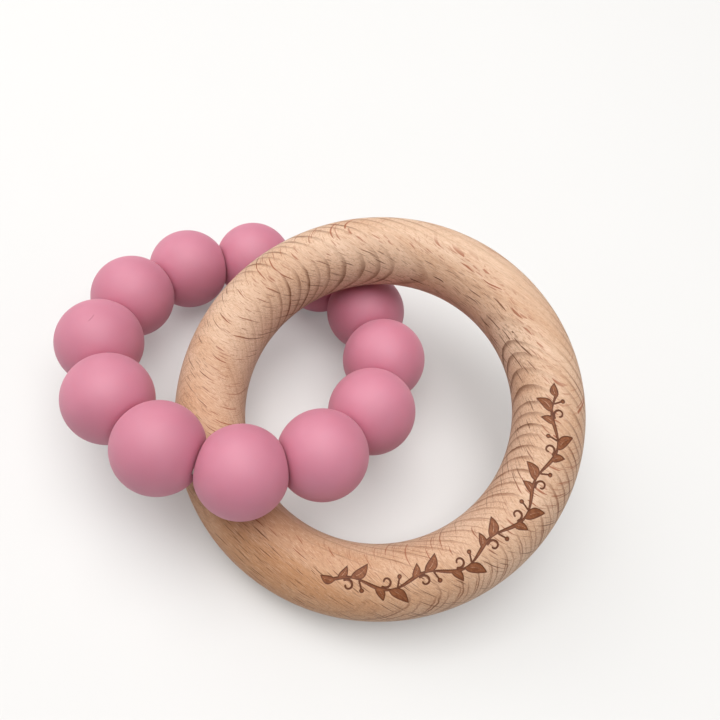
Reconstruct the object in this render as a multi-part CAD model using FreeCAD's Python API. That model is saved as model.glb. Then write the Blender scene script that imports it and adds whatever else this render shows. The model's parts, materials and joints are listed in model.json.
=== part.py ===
import FreeCAD, Part
import math
import os

# Teething ring: a turned wooden ring linked through a closed loop of silicone beads on a cord.
# Millimetres, +Z up. Origin: middle of the assembly's footprint, on the surface it rests on.
# +X runs from the bead loop's middle to the wooden ring's middle.

# Wooden ring, a plain turned torus
WOOD_MEAN_R = 29.25
WOOD_BAR_R = 6.10
WOOD_CENTRE = (11.158, 0.0, 15.330)
WOOD_TILT = 18.378
WOOD_TILT_AZIMUTH = -99.583

# Silicone bead: a sphere with two shallow conical faces that meet its neighbours, bored through
BEAD_R = 7.50
BEAD_FACE_SLOPE = 15.0
BEAD_FACE_H = 6.60
BEAD_SHOULDER_R = 4.50
BEAD_HOLE_R = 1.25
BEAD_LIP_R = 0.35
BEAD_GAP = 0.10

# The bead that hides the knot has a wider pocket in the middle of its hole
KNOT_BEAD = 11
POCKET_R = 1.95
POCKET_HALF = 2.90
POCKET_TAPER = 0.70

# Cord loop: one flat closed path with a small bend at each corner, where two beads meet
CORD_R = 0.60
CORD_BEND_R = 2.50
LOOP_CENTRE = (-14.015, 0.0, 13.929)
LOOP_TILT = 14.350
LOOP_TILT_AZIMUTH = 104.162
CORD_CORNERS = [
    (23.692, 12.482), (14.095, 22.390), (1.303, 27.931), (-12.397, 24.475),
    (-21.945, 14.468), (-25.405, 1.222), (-22.784, -12.137), (-14.848, -23.541),
    (-1.358, -28.268), (11.906, -23.731), (21.561, -14.096), (26.178, -1.199),
]

# Knot: the cord's ends wrapped round it and drawn tight, with two trimmed tails
KNOT_WRAPS = 4
KNOT_WRAP_R = 1.08
KNOT_STRAND_R = 0.50
KNOT_PITCH = 0.84
KNOT_TAIL = 0.90

V = FreeCAD.Vector
BEADS = len(CORD_CORNERS)


def tilted_normal(tilt, azimuth):
    t, a = math.radians(tilt), math.radians(azimuth)
    return V(math.sin(t) * math.cos(a), math.sin(t) * math.sin(a), math.cos(t))


def place(shape, centre, axis):
    shape = shape.copy()
    shape.Placement = FreeCAD.Placement(centre, FreeCAD.Rotation(V(0, 0, 1), axis))
    return shape


def bead_profile():
    """Outer line of a bead in (radius, height): lip, conical face, shoulder, sphere."""
    s, c = math.sin(math.radians(BEAD_FACE_SLOPE)), math.cos(math.radians(BEAD_FACE_SLOPE))
    lip = (BEAD_HOLE_R + BEAD_LIP_R, (BEAD_FACE_H - BEAD_LIP_R - (BEAD_HOLE_R + BEAD_LIP_R) * s) / c)
    lip_end = (lip[0] + BEAD_LIP_R * s, lip[1] + BEAD_LIP_R * c)
    reach = math.sqrt((BEAD_R - BEAD_SHOULDER_R) ** 2 - (BEAD_FACE_H - BEAD_SHOULDER_R) ** 2)
    shoulder = ((BEAD_FACE_H - BEAD_SHOULDER_R) * s + reach * c, (BEAD_FACE_H - BEAD_SHOULDER_R) * c - reach * s)
    face_end = (shoulder[0] + BEAD_SHOULDER_R * s, shoulder[1] + BEAD_SHOULDER_R * c)
    k = BEAD_R / (BEAD_R - BEAD_SHOULDER_R)
    sphere_start = (shoulder[0] * k, shoulder[1] * k)
    return lip, lip_end, shoulder, face_end, sphere_start


def support(angle):
    """How far a bead reaches from its middle, along a line at this angle to its hole's axis."""
    lip, lip_end, shoulder, face_end, sphere_start = bead_profile()
    s, c = math.sin(angle), math.cos(angle)
    return max(lip[0] * s + lip[1] * c + BEAD_LIP_R, shoulder[0] * s + shoulder[1] * c + BEAD_SHOULDER_R if angle > math.radians(BEAD_FACE_SLOPE) else face_end[0] * s + face_end[1] * c)


def mid(centre, radius, a, b):
    """The middle of the arc from a to b about centre."""
    x, y = (a[0] + b[0]) / 2 - centre[0], (a[1] + b[1]) / 2 - centre[1]
    k = radius / math.hypot(x, y)
    return (centre[0] + x * k, centre[1] + y * k)


def make_bead(pocket):
    lip, lip_end, shoulder, face_end, sphere_start = bead_profile()
    lip_start = (BEAD_HOLE_R, lip[1])

    def p(q, sign=1):
        return V(q[0], 0, sign * q[1])

    def half(sign):
        lines = [
            Part.Arc(p(lip_start, sign), p(mid(lip, BEAD_LIP_R, lip_start, lip_end), sign), p(lip_end, sign)).toShape(),
            Part.makeLine(p(lip_end, sign), p(face_end, sign)),
            Part.Arc(p(face_end, sign), p(mid(shoulder, BEAD_SHOULDER_R, face_end, sphere_start), sign), p(sphere_start, sign)).toShape(),
        ]
        return lines

    top, bottom = half(1), half(-1)
    edges = top + [Part.Arc(p(sphere_start), V(BEAD_R, 0, 0), p(sphere_start, -1)).toShape()] + bottom[::-1]
    if pocket:
        bore = [
            p(lip_start, -1), V(BEAD_HOLE_R, 0, -POCKET_HALF - POCKET_TAPER), V(POCKET_R, 0, -POCKET_HALF),
            V(POCKET_R, 0, POCKET_HALF), V(BEAD_HOLE_R, 0, POCKET_HALF + POCKET_TAPER), p(lip_start),
        ]
    else:
        bore = [p(lip_start, -1), p(lip_start)]
    edges += [Part.makeLine(a, b) for a, b in zip(bore, bore[1:])]
    face = Part.Face(Part.Wire(Part.__sortEdges__(edges)))
    return face.revolve(V(0, 0, 0), V(0, 0, 1), 360)


def cord_points():
    n = tilted_normal(LOOP_TILT, LOOP_TILT_AZIMUTH)
    u = V(0, 0, 1).cross(n)
    u.normalize()
    v = n.cross(u)
    return [V(*LOOP_CENTRE) + u * a + v * b for a, b in CORD_CORNERS], n


def directions(corners):
    out = []
    for k in range(BEADS):
        d = corners[(k + 1) % BEADS] - corners[k]
        d.normalize()
        out.append(d)
    return out


def turn(corners, k):
    """Angle between the two straight runs that meet at corner k."""
    d = directions(corners)
    return d[k - 1].getAngle(d[k])


def bead_centres(corners):
    """Each bead sits so that it clears both neighbours by the same small gap."""
    reach = []
    for k in range(BEADS):
        h = turn(corners, k) / 2
        reach.append((support(h) + BEAD_GAP / 2) / math.cos(h))
    d, out = directions(corners), []
    for k in range(BEADS):
        length = (corners[(k + 1) % BEADS] - corners[k]).Length
        slack = length - reach[k] - reach[(k + 1) % BEADS]
        out.append(corners[k] + d[k] * (reach[k] + slack / 2))
    return out


def make_cord(corners, normal):
    """Straight round runs joined by short round bends, fused into one closed ring."""
    d = directions(corners)
    cut = [CORD_BEND_R * math.tan(turn(corners, k) / 2) for k in range(BEADS)]
    solids = []
    for k in range(BEADS):
        start = corners[k] + d[k] * cut[k]
        end = corners[(k + 1) % BEADS] - d[k] * cut[(k + 1) % BEADS]
        solids.append(Part.makeCylinder(CORD_R, (end - start).Length, start, d[k]))
    for k in range(BEADS):
        bend_start = corners[k] - d[k - 1] * cut[k]
        side = normal.cross(d[k - 1])
        side.normalize()
        angle = math.degrees(turn(corners, k))
        if d[k].dot(side) < 0:
            side, axis = side * -1, normal * -1
        else:
            axis = normal
        centre = bend_start + side * CORD_BEND_R
        disc = Part.Face(Part.Wire(Part.Circle(bend_start, d[k - 1], CORD_R).toShape()))
        solids.append(disc.revolve(centre, axis, angle))
    cord = solids[0].multiFuse(solids[1:])
    cord = cord.removeSplitter()
    return cord.Solids[0] if len(cord.Solids) == 1 else cord


def make_knot():
    """Wraps side by side round the cord, with a short tail at each end."""
    first = -(KNOT_WRAPS - 1) / 2.0 * KNOT_PITCH
    wraps = [
        Part.makeTorus(KNOT_WRAP_R, KNOT_STRAND_R, V(0, 0, first + i * KNOT_PITCH), V(0, 0, 1))
        for i in range(KNOT_WRAPS)
    ]
    top = -first + KNOT_TAIL
    tails = []
    for sign in (1, -1):
        tail = Part.makeCylinder(KNOT_STRAND_R, top + first + KNOT_TAIL + 0.6, V(sign * KNOT_WRAP_R, 0, sign * (-first - 0.6)), V(0, 0, sign))
        tails.append(tail)
    knot = wraps[0].multiFuse(wraps[1:] + tails)
    knot = knot.cut(Part.makeCylinder(CORD_R, 20, V(0, 0, -10), V(0, 0, 1)))
    knot = knot.removeSplitter()
    return knot.Solids[0] if len(knot.Solids) == 1 else knot


def build():
    nodes = {}
    nodes["wood_ring"] = Part.makeTorus(WOOD_MEAN_R, WOOD_BAR_R, V(*WOOD_CENTRE), tilted_normal(WOOD_TILT, WOOD_TILT_AZIMUTH))
    corners, normal = cord_points()
    centres, runs = bead_centres(corners), directions(corners)
    plain, pocketed = make_bead(False), make_bead(True)
    for k in range(BEADS):
        bead = pocketed if k + 1 == KNOT_BEAD else plain
        nodes["silicone_bead_%02d" % (k + 1)] = place(bead, centres[k], runs[k])
    nodes["cord_loop"] = make_cord(corners, normal)
    nodes["cord_knot"] = place(make_knot(), centres[KNOT_BEAD - 1], runs[KNOT_BEAD - 1])
    return nodes


os.makedirs("parts", exist_ok=True)
for name, shape in build().items():
    shape.exportStep("parts/%s.step" % name)
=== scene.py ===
import json
import math

import bpy
import numpy as np
from mathutils import Matrix, Vector


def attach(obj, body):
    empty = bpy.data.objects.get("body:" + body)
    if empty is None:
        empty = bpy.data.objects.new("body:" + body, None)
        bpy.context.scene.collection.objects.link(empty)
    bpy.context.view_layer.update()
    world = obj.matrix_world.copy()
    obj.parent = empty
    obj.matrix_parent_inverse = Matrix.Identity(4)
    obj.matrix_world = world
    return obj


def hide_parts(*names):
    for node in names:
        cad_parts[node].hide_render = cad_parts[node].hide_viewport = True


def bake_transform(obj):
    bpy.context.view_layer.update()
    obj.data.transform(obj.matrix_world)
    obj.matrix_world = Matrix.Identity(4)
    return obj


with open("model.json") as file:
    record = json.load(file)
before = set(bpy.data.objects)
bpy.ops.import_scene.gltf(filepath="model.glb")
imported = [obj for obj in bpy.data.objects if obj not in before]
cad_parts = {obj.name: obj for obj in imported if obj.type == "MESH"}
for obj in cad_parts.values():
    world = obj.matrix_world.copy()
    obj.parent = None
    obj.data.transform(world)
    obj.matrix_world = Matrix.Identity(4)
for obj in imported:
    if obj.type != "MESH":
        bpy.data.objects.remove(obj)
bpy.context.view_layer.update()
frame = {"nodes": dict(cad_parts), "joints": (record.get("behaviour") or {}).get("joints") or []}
MM = 0.001

# Shared sizes, in millimetres, the same as the CAD part's
WOOD_MEAN_R, WOOD_BAR_R = 29.25, 6.10
BEAD_R, BEAD_HOLE_R = 7.50, 1.25
POCKET_R, POCKET_HALF, POCKET_TAPER = 1.95, 2.90, 0.70
KNOT_BEAD = 11

joints = {j["child"]: j for j in frame["joints"]}
bead_bodies = ["bead_%02d" % (k + 1) for k in range(12)]
centres = [np.array(joints[b]["pos_m"]) / MM for b in bead_bodies]
axes = [np.array(joints[b]["axis"]) / np.linalg.norm(joints[b]["axis"]) for b in bead_bodies]
ring_centre = np.array(joints["wood_ring"]["pos_m"]) / MM
ring_axis = np.array(joints["wood_ring"]["axis"]) / np.linalg.norm(joints["wood_ring"]["axis"])


# ---------------------------------------------------------------- node helpers
def srgb(r, g, b):
    def lin(c):
        c /= 255.0
        return c / 12.92 if c <= 0.04045 else ((c + 0.055) / 1.055) ** 2.4

    return (lin(r), lin(g), lin(b), 1.0)


class Nodes:
    """Builds a material's node tree with short calls."""

    def __init__(self, name):
        self.mat = bpy.data.materials.new(name)
        self.mat.use_nodes = True
        self.t = self.mat.node_tree
        self.t.nodes.clear()
        self.out = self.t.nodes.new("ShaderNodeOutputMaterial")
        self.bsdf = self.t.nodes.new("ShaderNodeBsdfPrincipled")
        self.t.links.new(self.bsdf.outputs[0], self.out.inputs[0])

    def new(self, kind, **props):
        n = self.t.nodes.new(kind)
        for k, v in props.items():
            setattr(n, k, v)
        return n

    def put(self, socket, value):
        if isinstance(value, bpy.types.NodeSocket):
            self.t.links.new(value, socket)
        else:
            socket.default_value = value

    def attr(self, name):
        return self.new("ShaderNodeAttribute", attribute_name=name)

    def math(self, op, a, b=0.0, c=0.0, clamp=False):
        n = self.new("ShaderNodeMath", operation=op, use_clamp=clamp)
        for s, v in zip(n.inputs, (a, b, c)):
            self.put(s, v)
        return n.outputs[0]

    def vmath(self, op, a, b=(0, 0, 0), scale=None):
        n = self.new("ShaderNodeVectorMath", operation=op)
        self.put(n.inputs[0], a)
        self.put(n.inputs[1], b)
        if scale is not None:
            self.put(n.inputs["Scale"], scale)
        return n.outputs["Value"] if op in ("DOT_PRODUCT", "LENGTH", "DISTANCE") else n.outputs[0]

    def noise(self, vec, scale, detail=2.0, rough=0.5, distortion=0.0):
        n = self.new("ShaderNodeTexNoise")
        self.put(n.inputs["Vector"], vec)
        self.put(n.inputs["Scale"], scale)
        self.put(n.inputs["Detail"], detail)
        self.put(n.inputs["Roughness"], rough)
        self.put(n.inputs["Distortion"], distortion)
        return n.outputs[0]

    def voronoi(self, vec, scale, feature="F1", randomness=1.0, out="Distance"):
        n = self.new("ShaderNodeTexVoronoi", feature=feature)
        self.put(n.inputs["Vector"], vec)
        self.put(n.inputs["Scale"], scale)
        self.put(n.inputs["Randomness"], randomness)
        return n.outputs[out]

    def step(self, value, lo, hi):
        """0 at lo, 1 at hi, smooth between; lo may be above hi."""
        n = self.new("ShaderNodeMapRange", interpolation_type="SMOOTHSTEP")
        self.put(n.inputs["Value"], value)
        self.put(n.inputs["From Min"], lo)
        self.put(n.inputs["From Max"], hi)
        return n.outputs[0]

    def remap(self, value, a, b, c, d):
        n = self.new("ShaderNodeMapRange")
        for s, v in zip(n.inputs, (value, a, b, c, d)):
            self.put(s, v)
        return n.outputs[0]

    def mix(self, fac, a, b, blend="MIX"):
        n = self.new("ShaderNodeMix", data_type="RGBA", blend_type=blend)
        self.put(n.inputs["Factor"], fac)
        ins = [s for s in n.inputs if s.type == "RGBA"]
        self.put(ins[0], a)
        self.put(ins[1], b)
        return [s for s in n.outputs if s.type == "RGBA"][0]

    def scale3(self, vec, x, y, z):
        return self.vmath("MULTIPLY", vec, (x, y, z))

    def bump(self, height, strength, distance, normal=None):
        n = self.new("ShaderNodeBump")
        self.put(n.inputs["Strength"], strength)
        self.put(n.inputs["Distance"], distance)
        self.put(n.inputs["Height"], height)
        if normal is not None:
            self.put(n.inputs["Normal"], normal)
        return n.outputs[0]

    def set(self, **values):
        for k, v in values.items():
            self.put(self.bsdf.inputs[k.replace("_", " ")], v)


def new_mesh_object(name, verts, faces, material):
    me = bpy.data.meshes.new(name)
    me.from_pydata(verts, [], faces)
    me.polygons.foreach_set("use_smooth", [True] * len(me.polygons))
    me.update()
    me.materials.append(material)
    o = bpy.data.objects.new(name, me)
    bpy.context.scene.collection.objects.link(o)
    return o


def grid_faces(rows, cols, close_rows=False):
    """Quads of a rows x cols grid that closes round along cols."""
    i = np.arange(rows if close_rows else rows - 1)[:, None]
    j = np.arange(cols)[None, :]
    i2, j2 = (i + 1) % rows, (j + 1) % cols
    return np.stack([i * cols + j + 0 * i2, i * cols + j2, i2 * cols + j2, i2 * cols + j], -1).reshape(-1, 4)


def add_attribute(o, name, values, kind="FLOAT"):
    a = o.data.attributes.new(name, kind, "POINT")
    a.data.foreach_set("value" if kind == "FLOAT" else "vector", np.asarray(values, np.float32).ravel())


# ---------------------------------------------------------------- materials
WOOD_PALE, WOOD_MID, WOOD_WARM = srgb(217, 185, 159), srgb(203, 165, 136), srgb(180, 126, 82)


def silicone_material(name, seed, scuff=None):
    m = Nodes(name)
    p = m.attr("rest_mm").outputs["Vector"]
    at = m.vmath("ADD", p, (seed * 17.3, seed * 5.1, seed * 9.7))
    broad = m.noise(at, 0.12, 2.0, 0.5)
    fine = m.noise(at, 3.0, 3.0, 0.6)
    dust = m.noise(at, 14.0, 2.0, 0.7)
    col = m.mix(m.step(broad, 0.35, 0.65), srgb(194, 114, 137), srgb(199, 119, 142))
    col = m.mix(m.math("MULTIPLY", m.step(dust, 0.62, 0.80), 0.10), col, srgb(238, 190, 204))
    height = m.math("ADD", m.math("MULTIPLY", fine, 0.6), m.math("MULTIPLY", dust, 0.4))
    if scuff is not None:
        origin, along, across = scuff
        d = m.vmath("SUBTRACT", p, tuple(origin))
        a = m.vmath("DOT_PRODUCT", d, tuple(along))
        b = m.vmath("DOT_PRODUCT", d, tuple(across))
        b = m.math("SUBTRACT", b, m.math("MULTIPLY", m.math("MULTIPLY", a, a), 0.16))
        line = m.step(m.math("ABSOLUTE", b), 0.15, 0.04)
        ends = m.step(m.math("ABSOLUTE", a), 1.0, 0.45)
        near = m.step(m.vmath("LENGTH", d), 2.0, 1.5)
        mark = m.math("MULTIPLY", m.math("MULTIPLY", line, ends), near)
        col = m.mix(m.math("MULTIPLY", mark, 0.55), col, srgb(150, 70, 96))
        height = m.math("SUBTRACT", height, m.math("MULTIPLY", mark, 1.5))
    m.set(Base_Color=col, Roughness=0.64, IOR=1.54, Specular_IOR_Level=1.0)
    m.set(Sheen_Weight=0.12, Sheen_Roughness=0.5, Sheen_Tint=srgb(255, 226, 234))
    m.set(Subsurface_Weight=0.35, Subsurface_Radius=(1.0, 0.34, 0.38), Subsurface_Scale=0.0014)
    m.set(Normal=m.bump(height, 0.05, 0.0002))
    return m.mat


def beech_material():
    """Solid beech: one block pattern that the turned ring cuts through, so side grain and end grain follow from it."""
    m = Nodes("beech")
    q = m.attr("wood_mm").outputs["Vector"]  # along the grain, round the pith, out from the pith, millimetres
    burn = m.attr("burn").outputs["Fac"]
    end = m.attr("end_grain").outputs["Fac"]
    radial = m.attr("radial_face").outputs["Fac"]
    year = m.attr("year").outputs["Fac"]
    sep = m.new("ShaderNodeSeparateXYZ")
    m.put(sep.inputs[0], q)
    across, out = sep.outputs[1], sep.outputs[2]

    # broad tone: pale and pinkish, with warmer bands that follow the growth layers
    tone = m.noise(m.scale3(q, 0.030, 0.10, 0.16), 1.0, 2.0, 0.5)
    col = m.mix(m.step(tone, 0.30, 0.70), WOOD_MID, WOOD_PALE)
    band = m.noise(m.vmath("ADD", m.scale3(q, 0.022, 0.075, 0.30), (7.0, 3.0, 1.4)), 1.0, 1.0, 0.5)
    band_edge = m.math("MULTIPLY", m.math("SUBTRACT", m.noise(m.scale3(q, 0.15, 1.2, 1.2), 1.0, 2.0, 0.5), 0.5), 0.05)
    warm = m.step(m.math("ADD", band, band_edge), 0.55, 0.62)
    heart = m.math("ADD", out, m.math("MULTIPLY", m.math("SUBTRACT", band, 0.5), 14.0))
    inner = m.step(heart, 64.0, 53.0)
    col = m.mix(m.math("MULTIPLY", inner, 0.62), col, WOOD_WARM)
    col = m.mix(m.math("MULTIPLY", warm, m.remap(inner, 0.0, 1.0, 0.16, 0.45)), col, WOOD_WARM)

    # end grain is a little greyer than side grain
    col = m.mix(m.math("MULTIPLY", m.step(end, 0.35, 0.85), 0.45), col, srgb(197, 166, 143))

    # fibres along the grain; on end grain the same field reads as pores
    fibre = m.noise(m.scale3(q, 0.32, 6.5, 6.5), 1.0, 3.0, 0.62)
    col = m.mix(m.math("MULTIPLY", m.step(fibre, 0.50, 0.72), 0.50), col, srgb(178, 128, 94))
    col = m.mix(m.math("MULTIPLY", m.step(fibre, 0.47, 0.30), 0.34), col, srgb(240, 212, 188))
    pores = m.noise(m.scale3(q, 1.2, 3.6, 3.6), 1.0, 3.0, 0.75)
    pore = m.step(pores, 0.53, 0.68)
    col = m.mix(m.math("MULTIPLY", pore, m.remap(end, 0.2, 0.8, 0.26, 0.48)), col, srgb(150, 108, 80))

    grit = m.noise(m.scale3(q, 2.2, 5.5, 5.5), 1.0, 2.0, 0.8)
    col = m.mix(m.math("MULTIPLY", m.step(grit, 0.54, 0.70), m.remap(end, 0.2, 0.8, 0.16, 0.34)), col, srgb(140, 96, 68))
    col = m.mix(m.math("MULTIPLY", m.step(grit, 0.45, 0.28), m.remap(end, 0.2, 0.8, 0.14, 0.30)), col, srgb(238, 214, 192))

    # growth layers: each year ends in a thin dark line, strongest on end grain
    drift = m.noise(m.scale3(q, 0.05, 0.10, 0.05), 1.0, 2.0, 0.5)
    ragged = m.noise(m.scale3(q, 0.25, 1.3, 1.3), 1.0, 2.0, 0.5)
    y = m.math("ADD", year, m.math("MULTIPLY", m.math("SUBTRACT", drift, 0.5), 0.5))
    y = m.math("ADD", y, m.math("MULTIPLY", m.math("SUBTRACT", ragged, 0.5), 0.16))
    part = m.math("FRACT", y)
    late = m.math("MULTIPLY", m.step(part, m.remap(out, 68.0, 80.0, 0.85, 0.56), 0.93), m.step(part, 1.0, 0.955))
    dusk = m.math("MULTIPLY", m.step(part, 0.35, 1.0), m.step(part, 1.0, 0.97))
    which = m.new("ShaderNodeTexWhiteNoise", noise_dimensions="1D")
    m.put(which.inputs["W"], m.math("FLOOR", y))
    vary = m.remap(which.outputs["Value"], 0.0, 1.0, 0.55, 1.0)
    patchy = m.remap(m.noise(m.scale3(q, 0.10, 0.30, 0.30), 1.0, 2.0, 0.5), 0.35, 0.60, 0.50, 1.0)
    seen = m.math("MULTIPLY", m.math("MULTIPLY", vary, patchy), m.remap(end, 0.15, 0.55, 0.18, 1.0), clamp=True)
    plain = m.math("MULTIPLY", m.step(sep.outputs[0], -12.0, -18.0), m.step(out, 78.0, 73.0))
    seen = m.math("MULTIPLY", seen, m.remap(plain, 0.0, 1.0, 1.0, 0.30))
    col = m.mix(m.math("MULTIPLY", m.math("MULTIPLY", dusk, seen), m.remap(out, 68.0, 80.0, 0.16, 0.40)), col, srgb(186, 132, 96))
    late_dark = m.mix(m.step(out, 72.0, 82.0), srgb(128, 84, 58), srgb(98, 60, 38))
    col = m.mix(m.math("MULTIPLY", late, seen), col, late_dark)
    half_year = m.math("FRACT", m.math("ADD", m.math("MULTIPLY", y, 2.0), m.math("MULTIPLY", patchy, 0.35)))
    false_ring = m.math("MULTIPLY", m.step(half_year, 0.76, 0.89), m.step(half_year, 1.0, 0.93))
    false_ring = m.math("MULTIPLY", m.math("MULTIPLY", false_ring, m.step(out, 79.0, 70.0)), m.step(end, 0.25, 0.60))
    col = m.mix(m.math("MULTIPLY", m.math("MULTIPLY", false_ring, seen), 0.85), col, srgb(138, 88, 60))

    # rays: thin sheets out from the pith, a few millimetres tall along the grain
    sway = m.noise(m.scale3(q, 0.14, 0.20, 0.08), 1.0, 2.0, 0.5)
    across2 = m.math("ADD", across, m.math("MULTIPLY", m.math("SUBTRACT", sway, 0.5), 1.4))
    bent = m.new("ShaderNodeCombineXYZ")
    for sock, v in zip(bent.inputs, (sep.outputs[0], across2, out)):
        m.put(sock, v)

    def rays(tall, apart, deep, long_lo, long_hi, half_lo, half_hi, share, seed):
        """Spindles: one at most in each cell; returns how strongly a ray shows at the point."""
        cell = m.vmath("ADD", m.scale3(bent.outputs[0], 1 / tall, 1 / apart, 1 / deep), (seed, seed * 1.7, seed * 2.3))
        v = m.new("ShaderNodeTexVoronoi", feature="F1")
        m.put(v.inputs["Vector"], cell)
        m.put(v.inputs["Scale"], 1.0)
        m.put(v.inputs["Randomness"], 0.9)
        d = m.vmath("SUBTRACT", cell, v.outputs["Position"])
        ds, rnd = m.new("ShaderNodeSeparateXYZ"), m.new("ShaderNodeSeparateXYZ")
        m.put(ds.inputs[0], d)
        m.put(rnd.inputs[0], v.outputs["Color"])
        half_len = m.remap(rnd.outputs[0], 0.0, 1.0, long_lo, long_hi)
        half_wide = m.remap(rnd.outputs[1], 0.0, 1.0, half_lo, half_hi)
        x = m.math("DIVIDE", m.math("MULTIPLY", ds.outputs[0], tall), half_len)
        z = m.math("DIVIDE", m.math("MULTIPLY", ds.outputs[1], apart), half_wide)
        body = m.math("SUBTRACT", 1.0, m.math("MULTIPLY", x, x), clamp=True)
        shape = m.step(m.math("ABSOLUTE", z), m.math("MULTIPLY", body, 1.15), m.math("MULTIPLY", body, 0.65))
        shape = m.math("MULTIPLY", shape, m.step(body, 0.0, 0.15))
        here = m.step(rnd.outputs[2], 1.0 - share - 0.02, 1.0 - share + 0.02)
        return m.math("MULTIPLY", shape, m.math("MULTIPLY", here, m.remap(rnd.outputs[0], 0.0, 1.0, 0.65, 1.0)))

    bold = rays(4.0, 1.05, 8.0, 0.8, 2.2, 0.065, 0.115, 0.46, 3.1)
    small = rays(2.4, 0.60, 3.5, 0.5, 1.2, 0.045, 0.075, 0.46, 8.4)
    faint = rays(1.5, 0.36, 2.0, 0.30, 0.7, 0.04, 0.06, 0.7, 1.9)
    ray_dark = m.mix(m.step(radial, 0.50, 0.80), srgb(96, 56, 34), srgb(150, 78, 47))
    show = m.math("MULTIPLY", m.remap(end, 0.3, 0.9, 0.96, 0.72), m.step(radial, 1.0, 0.84))
    col = m.mix(m.math("MULTIPLY", faint, m.math("MULTIPLY", show, 0.34)), col, ray_dark)
    col = m.mix(m.math("MULTIPLY", small, m.math("MULTIPLY", show, 0.60)), col, ray_dark)
    col = m.mix(m.math("MULTIPLY", bold, show), col, ray_dark)

    # engraved and burnt line work: dark at the edges of a stroke, lighter brown inside
    char = m.noise(m.scale3(q, 1.2, 3.0, 3.0), 1.0, 3.0, 0.6)
    burnt = m.mix(m.step(char, 0.35, 0.65), srgb(116, 66, 40), srgb(140, 86, 54))
    core = m.attr("stroke_core").outputs["Fac"]
    rim = m.math("MULTIPLY", m.step(burn, 0.12, 0.45), m.step(core, 0.75, 0.15))
    burnt = m.mix(m.math("MULTIPLY", rim, 0.80), burnt, srgb(84, 43, 25))
    col = m.mix(m.step(burn, 0.10, 0.50), col, burnt)

    marks = m.math("MAXIMUM", bold, m.math("MULTIPLY", small, 0.6))
    height = m.math("ADD", m.math("MULTIPLY", fibre, 0.35), m.math("MULTIPLY", marks, -0.8))
    height = m.math("ADD", height, m.math("MULTIPLY", pore, -0.25))
    height = m.math("ADD", height, m.math("MULTIPLY", m.math("MULTIPLY", late, end), -0.25))
    rough = m.remap(fibre, 0.3, 0.7, 0.46, 0.58)
    m.set(Base_Color=col, Roughness=rough, IOR=1.45, Specular_IOR_Level=0.30)
    m.set(Subsurface_Weight=0.06, Subsurface_Radius=(1.0, 0.6, 0.4), Subsurface_Scale=0.0006)
    m.set(Normal=m.bump(height, 0.22, 0.00012))
    return m.mat


def cord_material():
    m = Nodes("cord")
    tc = m.new("ShaderNodeTexCoord")
    p = m.vmath("SCALE", tc.outputs["Object"], scale=1000.0)
    w1 = m.new("ShaderNodeTexWave", wave_type="BANDS", bands_direction="DIAGONAL")
    m.put(w1.inputs["Vector"], p)
    m.put(w1.inputs["Scale"], 1.6)
    m.put(w1.inputs["Distortion"], 1.0)
    fuzz = m.noise(p, 6.0, 3.0, 0.6)
    col = m.mix(w1.outputs[1], srgb(214, 206, 198), srgb(240, 236, 230))
    col = m.mix(m.math("MULTIPLY", fuzz, 0.4), col, srgb(226, 218, 210))
    m.set(Base_Color=col, Roughness=0.75)
    m.set(Normal=m.bump(w1.outputs[1], 0.5, 0.0001))
    return m.mat


def floor_material():
    m = Nodes("pale_floor")
    tc = m.new("ShaderNodeTexCoord")
    n = m.noise(tc.outputs["Object"], 14.0, 4.0, 0.6)
    col = m.mix(n, (0.610, 0.608, 0.603, 1), (0.630, 0.627, 0.623, 1))
    m.set(Base_Color=col, Roughness=0.75, Specular_IOR_Level=0.15)
    # painted glow: the floor emits light for camera rays only, which lifts the floor and the shadows on it without
    # lighting the object from below, and fades it into the studio's walls far out
    seen = m.new("ShaderNodeLightPath").outputs["Is Camera Ray"]
    far = m.step(m.vmath("LENGTH", tc.outputs["Object"]), 0.30, 1.30)
    m.set(Emission_Color=(1.0, 0.994, 0.985, 1), Emission_Strength=m.math("MULTIPLY", seen, m.remap(far, 0.0, 1.0, 0.150, 0.62)))
    return m.mat


# ---------------------------------------------------------------- beads
def perpendicular(axis, towards):
    x = towards - (towards @ axis) * axis
    x /= np.linalg.norm(x)
    return x, np.cross(axis, x)


loop_middle = np.mean(centres, axis=0)
BEAD_SHOW_GAP = 0.05  # between two pressed faces
BEAD_SOFTNESS = 30.0  # higher is a sharper crease edge
MOUTH_R = 0.64  # the pressed silicone closes round the cord
COLS = 120


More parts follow.
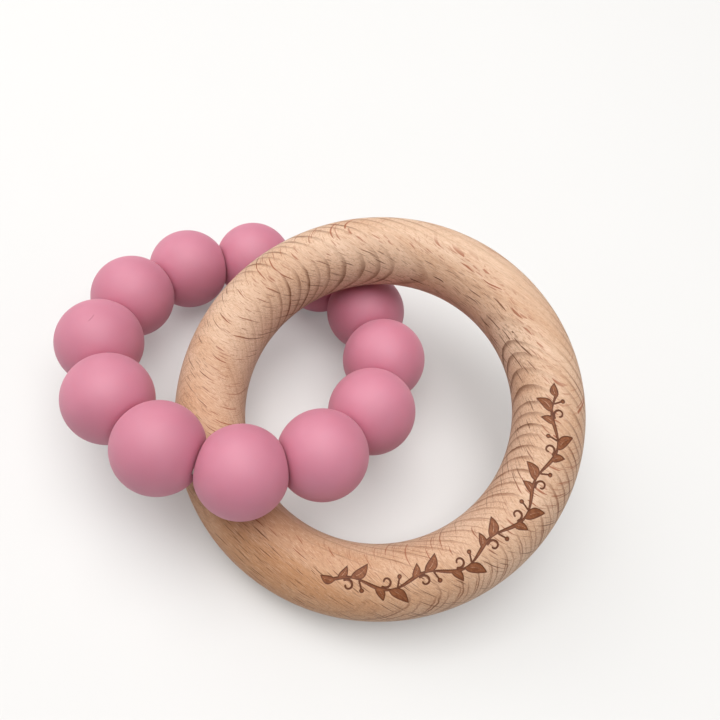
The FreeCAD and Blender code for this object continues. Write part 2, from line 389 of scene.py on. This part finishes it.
def make_bead(k, material):
    c, z = centres[k], axes[k]
    x, y = perpendicular(z, loop_middle - c)
    planes = []
    for other in (centres[(k + 1) % 12], centres[k - 1]):
        d = other - c
        h = np.linalg.norm(d) / 2 - BEAD_SHOW_GAP / 2
        nrm = d / np.linalg.norm(d)
        planes.append((np.array([nrm @ x, nrm @ y, nrm @ z]), h))
    phi = np.linspace(0, 2 * np.pi, COLS, endpoint=False)
    cp, sp = np.cos(phi), np.sin(phi)

    def face_height(sign, rho):
        """Height of the pressed face's plane over a point rho out from the hole's axis."""
        n, h = planes[0] if sign > 0 else planes[1]
        return (h - rho * (n[0] * cp + n[1] * sp)) / n[2]

    def radius(theta):
        d = np.stack([np.sin(theta) * cp, np.sin(theta) * sp, np.cos(theta) + 0 * cp], -1)
        inv = np.full(len(phi), BEAD_R ** -BEAD_SOFTNESS)
        for n, h in planes:
            s = d @ n
            inv = inv + np.where(s > 1e-6, (np.maximum(s, 1e-6) / h) ** BEAD_SOFTNESS, 0)
        return inv ** (-1 / BEAD_SOFTNESS)

    rim = MOUTH_R + 0.10
    start = np.arctan2(rim, np.abs(face_height(1, rim)))
    stop = np.pi - np.arctan2(rim, np.abs(face_height(-1, rim)))
    t = np.concatenate([np.linspace(0, 0.25, 34, endpoint=False), np.linspace(0.25, 0.75, 42, endpoint=False), np.linspace(0.75, 1, 35)])
    rows = []
    for s in t:
        theta = start + (stop - start) * s
        r = radius(theta)
        rows.append(np.stack([r * np.sin(theta) * cp, r * np.sin(theta) * sp, r * np.cos(theta)], -1))
    # rounded lips and the bore back through the bead
    def lip(row, sign, rho, drop):
        return np.stack([rho * cp, rho * sp, row[:, 2] - sign * drop], -1)

    top, bottom = rows[0], rows[-1]
    lower = [lip(bottom, -1, MOUTH_R + 0.02, 0.05), lip(bottom, -1, MOUTH_R, 0.30)]
    upper = [lip(top, 1, MOUTH_R, 0.30), lip(top, 1, MOUTH_R + 0.02, 0.05)]
    heights = [-5.0, -4.0, -2.0, 0.0, 2.0, 4.0, 5.0]
    radii = [BEAD_HOLE_R] * 7
    if k + 1 == KNOT_BEAD:
        e = POCKET_HALF + POCKET_TAPER
        heights = [-5.0, -e, -POCKET_HALF, 0.0, POCKET_HALF, e, 5.0]
        radii = [BEAD_HOLE_R, BEAD_HOLE_R, POCKET_R, POCKET_R, POCKET_R, BEAD_HOLE_R, BEAD_HOLE_R]
    bore = [np.stack([r * cp, r * sp, h + 0 * cp], -1) for h, r in zip(heights, radii)]
    rows = rows + lower + bore + upper
    local = np.concatenate(rows)
    world = c + local @ np.stack([x, y, z])
    faces = grid_faces(len(rows), COLS, close_rows=True)
    o = new_mesh_object("bead_%02d_ball" % (k + 1), world * MM, faces[:, ::-1].tolist(), material)
    add_attribute(o, "rest_mm", local, "FLOAT_VECTOR")
    # a weight for each point, 1 in the middle and 0 at the pressed faces, for how far it would turn with the bead
    # while the faces stay with their neighbours; it is returned, and nothing applies it
    away = np.abs(local[:, 2])
    w = np.clip((4.5 - away) / 2.3, 0, 1)
    w = w * w * (3 - 2 * w)
    return o, w


scuff_place = None
beads = []
for k in range(12):
    c, z = centres[k], axes[k]
    x, y = perpendicular(z, loop_middle - c)
    scuff = None
    if k == 11:
        SCUFF_AT = np.array([-36.95, -11.4, 22.8])
        d = SCUFF_AT - c
        d *= BEAD_R / np.linalg.norm(d)
        out = d / np.linalg.norm(d)
        along = np.array([0.04, 1.0, 0.0])
        along -= (along @ out) * out
        along /= np.linalg.norm(along)
        across = np.cross(out, along)
        to_local = np.stack([x, y, z])
        scuff = (to_local @ d, to_local @ along, to_local @ across)
    o, w = make_bead(k, silicone_material("silicone_%02d" % (k + 1), k, scuff))
    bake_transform(o)
    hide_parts("silicone_bead_%02d" % (k + 1))
    beads.append(o)

# ---------------------------------------------------------------- wooden ring
e1 = np.cross(ring_axis, [0.0, 1.0, 0.0])
e1 /= np.linalg.norm(e1)
if e1[0] < 0:
    e1 = -e1
e2 = np.cross(ring_axis, e1)
# the plank the ring was turned from, in the ring's own axes (e1, e2, ring axis)
ring_axes = np.stack([e1, e2, ring_axis])
GRAIN = np.array([0.9673, -0.2473, -0.0564]) @ ring_axes  # along the fibres
TO_PITH = -np.array([0.1324, 0.6822, -0.7191]) @ ring_axes  # towards the middle of the tree
TO_PITH -= (TO_PITH @ GRAIN) * GRAIN
TO_PITH /= np.linalg.norm(TO_PITH)
ROUND = np.cross(GRAIN, TO_PITH)
PITH_AWAY = 75.0  # from the ring's middle to the middle of the tree
# radii of the yearly layers
YEARS = [45.0, 46.8, 48.5, 50.6, 52.4, 54.5, 56.3, 58.4, 60.3, 61.9, 63.3, 65.2, 67.4, 69.0, 71.1, 72.6, 74.5, 76.2, 77.7, 79.2, 80.4, 81.8, 83.0, 84.8, 86.6, 88.0, 89.0, 90.9, 92.4, 94.3, 96.0, 98.1, 100.0, 102.0, 104.0]

# the engraved garland: s runs along the bar, t across it, in millimetres
GARLAND_FROM, GARLAND_TO = math.radians(-79), math.radians(25)
GARLAND_V = math.radians(86)
REACH = WOOD_MEAN_R + WOOD_BAR_R * math.cos(GARLAND_V)
SPRIGS = 9  # bends of the stem


def smooth(x):
    x = np.clip(x, 0, 1)
    return x * x * (3 - 2 * x)


def burn_of(s, t):
    """How deeply burnt the surface is, and how far inside a stroke, 0 to 1: a wavy stem with leaves, tendrils and berries."""
    length = REACH * (GARLAND_TO - GARLAND_FROM)
    pitch = length / SPRIGS
    k = math.pi / pitch
    swing = 0.85
    depth, core = np.zeros_like(s), np.zeros_like(s)

    def ink(signed, soft=0.09):
        """signed is millimetres inside the stroke's edge."""
        nonlocal depth, core
        depth = np.maximum(depth, smooth(signed / (2 * soft) + 0.5))
        core = np.maximum(core, np.clip(signed / 0.32, 0, 1))

    def clear(signed, soft=0.07):
        nonlocal depth
        depth = depth * (1 - 0.9 * smooth(signed / (2 * soft) + 0.5))

    def stroke(points, half):
        """A line through points, its half width going from half[0] to half[1]."""
        n = len(points) - 1
        for i in range(n):
            (x0, y0), (x1, y1) = points[i], points[i + 1]
            dx, dy = x1 - x0, y1 - y0
            h = np.clip(((s - x0) * dx + (t - y0) * dy) / (dx * dx + dy * dy), 0, 1)
            wide = half[0] + (half[1] - half[0]) * (i + h) / n
            ink(wide - np.hypot(s - x0 - h * dx, t - y0 - h * dy))

    def leaf(s0, t0, angle, size, fat, side):
        ca, sa = math.cos(angle), math.sin(angle)
        a = (s - s0) * ca + (t - t0) * sa
        b = -(s - s0) * sa + (t - t0) * ca
        u = np.clip(a / size, 0, 1)
        bow = side * 0.13 * size * np.sin(np.pi * u)
        half = fat * np.sin(np.pi * u ** 0.8) ** 0.9
        ends = np.minimum(a, size - a)
        ink(np.minimum(half - np.abs(b - bow), ends + 0.08))
        vein = np.minimum(0.085 * (1 - 0.5 * u) - np.abs(b - bow), np.minimum(a - 0.22 * size, 0.80 * size - a))
        clear(vein)

    # stem, thick and thin like a pen stroke
    steps = 14 * SPRIGS
    at = np.linspace(0.25, length - 0.25, steps)
    mid = swing * np.sin(k * at)
    for i in range(steps - 1):
        thick = 0.20 + 0.07 * math.sin(2 * k * at[i] + 0.8)
        near = np.abs(s - at[i]) < 1.2
        x0, y0, dx, dy = at[i], mid[i], at[i + 1] - at[i], mid[i + 1] - mid[i]
        h = np.clip(((s - x0) * dx + (t - y0) * dy) / (dx * dx + dy * dy), 0, 1)
        d = thick - np.hypot(s - x0 - h * dx, t - y0 - h * dy)
        depth = np.where(near, np.maximum(depth, smooth(d / 0.18 + 0.5)), depth)
        core = np.where(near, np.maximum(core, np.clip(d / 0.32, 0, 1)), core)

    for i in range(SPRIGS):
        up = 1 if i % 2 == 0 else -1
        s0 = (i + 0.50) * pitch
        leaf(s0, swing * math.sin(k * s0), up * math.radians(44), 3.5, 0.82, -up)
        s1 = (i + 0.16) * pitch
        leaf(s1, swing * math.sin(k * s1), up * math.radians(64), 2.4, 0.60, -up)
        # a curled tendril and a berry inside the bend
        s2 = (i + 0.34) * pitch
        t2 = swing * math.sin(k * s2)
        curl = []
        for j in range(17):
            w = j / 16.0
            turn = math.radians(-40) + 5.2 * w
            r = 0.95 * (1 - 0.62 * w)
            curl.append((s2 + 0.55 + r * math.sin(turn), t2 - up * (1.15 - r * math.cos(turn))))
        stroke(curl, (0.16, 0.11))
        s3 = (i + 0.80) * pitch
        t3 = swing * math.sin(k * s3)
        stroke([(s3 - 0.45, t3 - up * 0.1), (s3 - 0.05, t3 - up * 1.25)], (0.12, 0.10))
        ink(0.34 - np.hypot(s - s3, t - t3 + up * 1.5))
    leaf(length - 0.5, 0.0, math.radians(4), 2.4, 0.66, 1)
    leaf(0.5, 0.0, math.radians(176), 2.4, 0.66, 1)
    return depth, core


def make_ring(material):
    du = 0.11 / REACH
    dense = np.arange(GARLAND_FROM - math.radians(5), GARLAND_TO + math.radians(5), du)
    rest = np.linspace(dense[-1] + du, dense[0] - du + 2 * math.pi, 230)
    u = np.concatenate([dense, rest])
    dv = 0.115 / WOOD_BAR_R
    dense_v = np.arange(GARLAND_V - math.radians(35), GARLAND_V + math.radians(35), dv)
    rest_v = np.linspace(dense_v[-1] + dv, dense_v[0] - dv + 2 * math.pi, 56)
    v = np.concatenate([dense_v, rest_v])
    U, V = np.meshgrid(u, v, indexing="ij")
    s = REACH * (U - GARLAND_FROM)
    t = WOOD_BAR_R * (V - GARLAND_V)
    inside = (np.abs(t) < 4.0) & (s > -4) & (s < REACH * (GARLAND_TO - GARLAND_FROM) + 4)
    burn, core = (np.where(inside, f, 0) for f in burn_of(s, t))
    r = WOOD_BAR_R - 0.10 * burn
    ring = WOOD_MEAN_R + r * np.cos(V)
    out = np.cos(U)[..., None] * e1 + np.sin(U)[..., None] * e2
    P = ring[..., None] * out + (r * np.sin(V))[..., None] * ring_axis
    P = P.reshape(-1, 3)
    faces = grid_faces(len(u), len(v), close_rows=True)
    o = new_mesh_object("beech_ring", (P + ring_centre) * MM, faces.tolist(), material)
    # where each point sits in the tree
    along, inward, side = P @ GRAIN, PITH_AWAY - P @ TO_PITH, P @ ROUND
    from_pith = np.hypot(inward, side)
    add_attribute(o, "wood_mm", np.stack([along, PITH_AWAY * np.arctan2(side, inward), from_pith], -1), "FLOAT_VECTOR")
    add_attribute(o, "year", np.interp(from_pith, YEARS, np.arange(len(YEARS))))
    N = (np.cos(V)[..., None] * out + np.sin(V)[..., None] * ring_axis).reshape(-1, 3)
    outward = (side[:, None] * ROUND - inward[:, None] * TO_PITH) / from_pith[:, None]
    add_attribute(o, "end_grain", np.abs(N @ GRAIN))
    add_attribute(o, "radial_face", np.abs(np.einsum("ij,ij->i", N, np.cross(GRAIN, outward))))
    add_attribute(o, "burn", burn.ravel())
    add_attribute(o, "stroke_core", core.ravel())
    return o


ring = make_ring(beech_material())
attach(ring, "wood_ring")
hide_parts("wood_ring")

# ---------------------------------------------------------------- cord and knot
cord_mat = cord_material()
for node in ("cord_loop", "cord_knot"):
    o = frame["nodes"][node]
    o.data.materials.clear()
    o.data.materials.append(cord_mat)
    o.data.polygons.foreach_set("use_smooth", [True] * len(o.data.polygons))

# ---------------------------------------------------------------- floor, light, camera
fm = floor_material()
floor = new_mesh_object("floor", [(-1.5, -1.5, 0), (1.5, -1.5, 0), (1.5, 1.5, 0), (-1.5, 1.5, 0)], [(0, 1, 2, 3)], fm)


def area(name, at, size, power, color, aim=(0, 0, 0.01)):
    d = bpy.data.lights.new(name, "AREA")
    d.shape = "RECTANGLE"
    d.size, d.size_y = size
    d.energy = power
    d.color = color
    o = bpy.data.objects.new(name, d)
    o.location = at
    o.visible_camera = False
    o.rotation_mode = "QUATERNION"
    o.rotation_quaternion = (Vector(aim) - Vector(at)).to_track_quat("-Z", "Y")
    bpy.context.scene.collection.objects.link(o)
    return o


area("overhead", (-0.02, 0.02, 0.90), (0.90, 0.90), 9.3, (1.0, 0.99, 0.975))
area("side", (-0.55, 0.24, 0.70), (0.60, 0.60), 2.3, (1.0, 0.99, 0.98))
world = bpy.data.worlds.new("studio")
world.use_nodes = True
wt = world.node_tree
wt.nodes["Background"].inputs[0].default_value = (1.0, 0.995, 0.985, 1)
# the studio's walls: a little brighter to the object's left and right; pale where the camera sees them past the floor
toward = wt.nodes.new("ShaderNodeTexCoord")
split = wt.nodes.new("ShaderNodeSeparateXYZ")
wt.links.new(toward.outputs["Generated"], split.inputs[0])
sides = []
for start, full, low, high in ((0.35, 1.0, 0.155, 0.55), (-0.25, -1.0, 0.0, 0.60)):
    glow = wt.nodes.new("ShaderNodeMapRange")
    glow.interpolation_type = "SMOOTHSTEP"
    wt.links.new(split.outputs[0], glow.inputs["Value"])
    glow.inputs["From Min"].default_value, glow.inputs["From Max"].default_value = start, full
    glow.inputs["To Min"].default_value, glow.inputs["To Max"].default_value = low, high
    sides.append(glow)
glow = wt.nodes.new("ShaderNodeMath")
wt.links.new(sides[0].outputs[0], glow.inputs[0])
wt.links.new(sides[1].outputs[0], glow.inputs[1])
ray = wt.nodes.new("ShaderNodeLightPath")
pale = wt.nodes.new("ShaderNodeMix")
wt.links.new(ray.outputs["Is Camera Ray"], pale.inputs["Factor"])
wt.links.new(glow.outputs[0], pale.inputs["A"])
pale.inputs["B"].default_value = 0.88
wt.links.new(pale.outputs[0], wt.nodes["Background"].inputs[1])
bpy.context.scene.world = world

cam = bpy.data.cameras.new("camera")
cam.sensor_fit = "HORIZONTAL"
cam.sensor_width = 36.0
cam.lens = 785.07 / 720 * 36.0
cam.clip_start, cam.clip_end = 0.01, 10
camera = bpy.data.objects.new("camera", cam)
right, up, ahead = Vector((0.902999, 0.414137, 0.114384)), Vector((-0.410073, 0.751328, 0.517056)), Vector((-0.128192, 0.513806, -0.848275))
m = Matrix((right, up, -ahead)).transposed().to_4x4()
m.translation = Vector((22.6431, -64.9511, 134.4367)) * MM
camera.matrix_world = m
bpy.context.scene.collection.objects.link(camera)
bpy.context.scene.camera = camera
bpy.context.scene.view_settings.view_transform = "Standard"
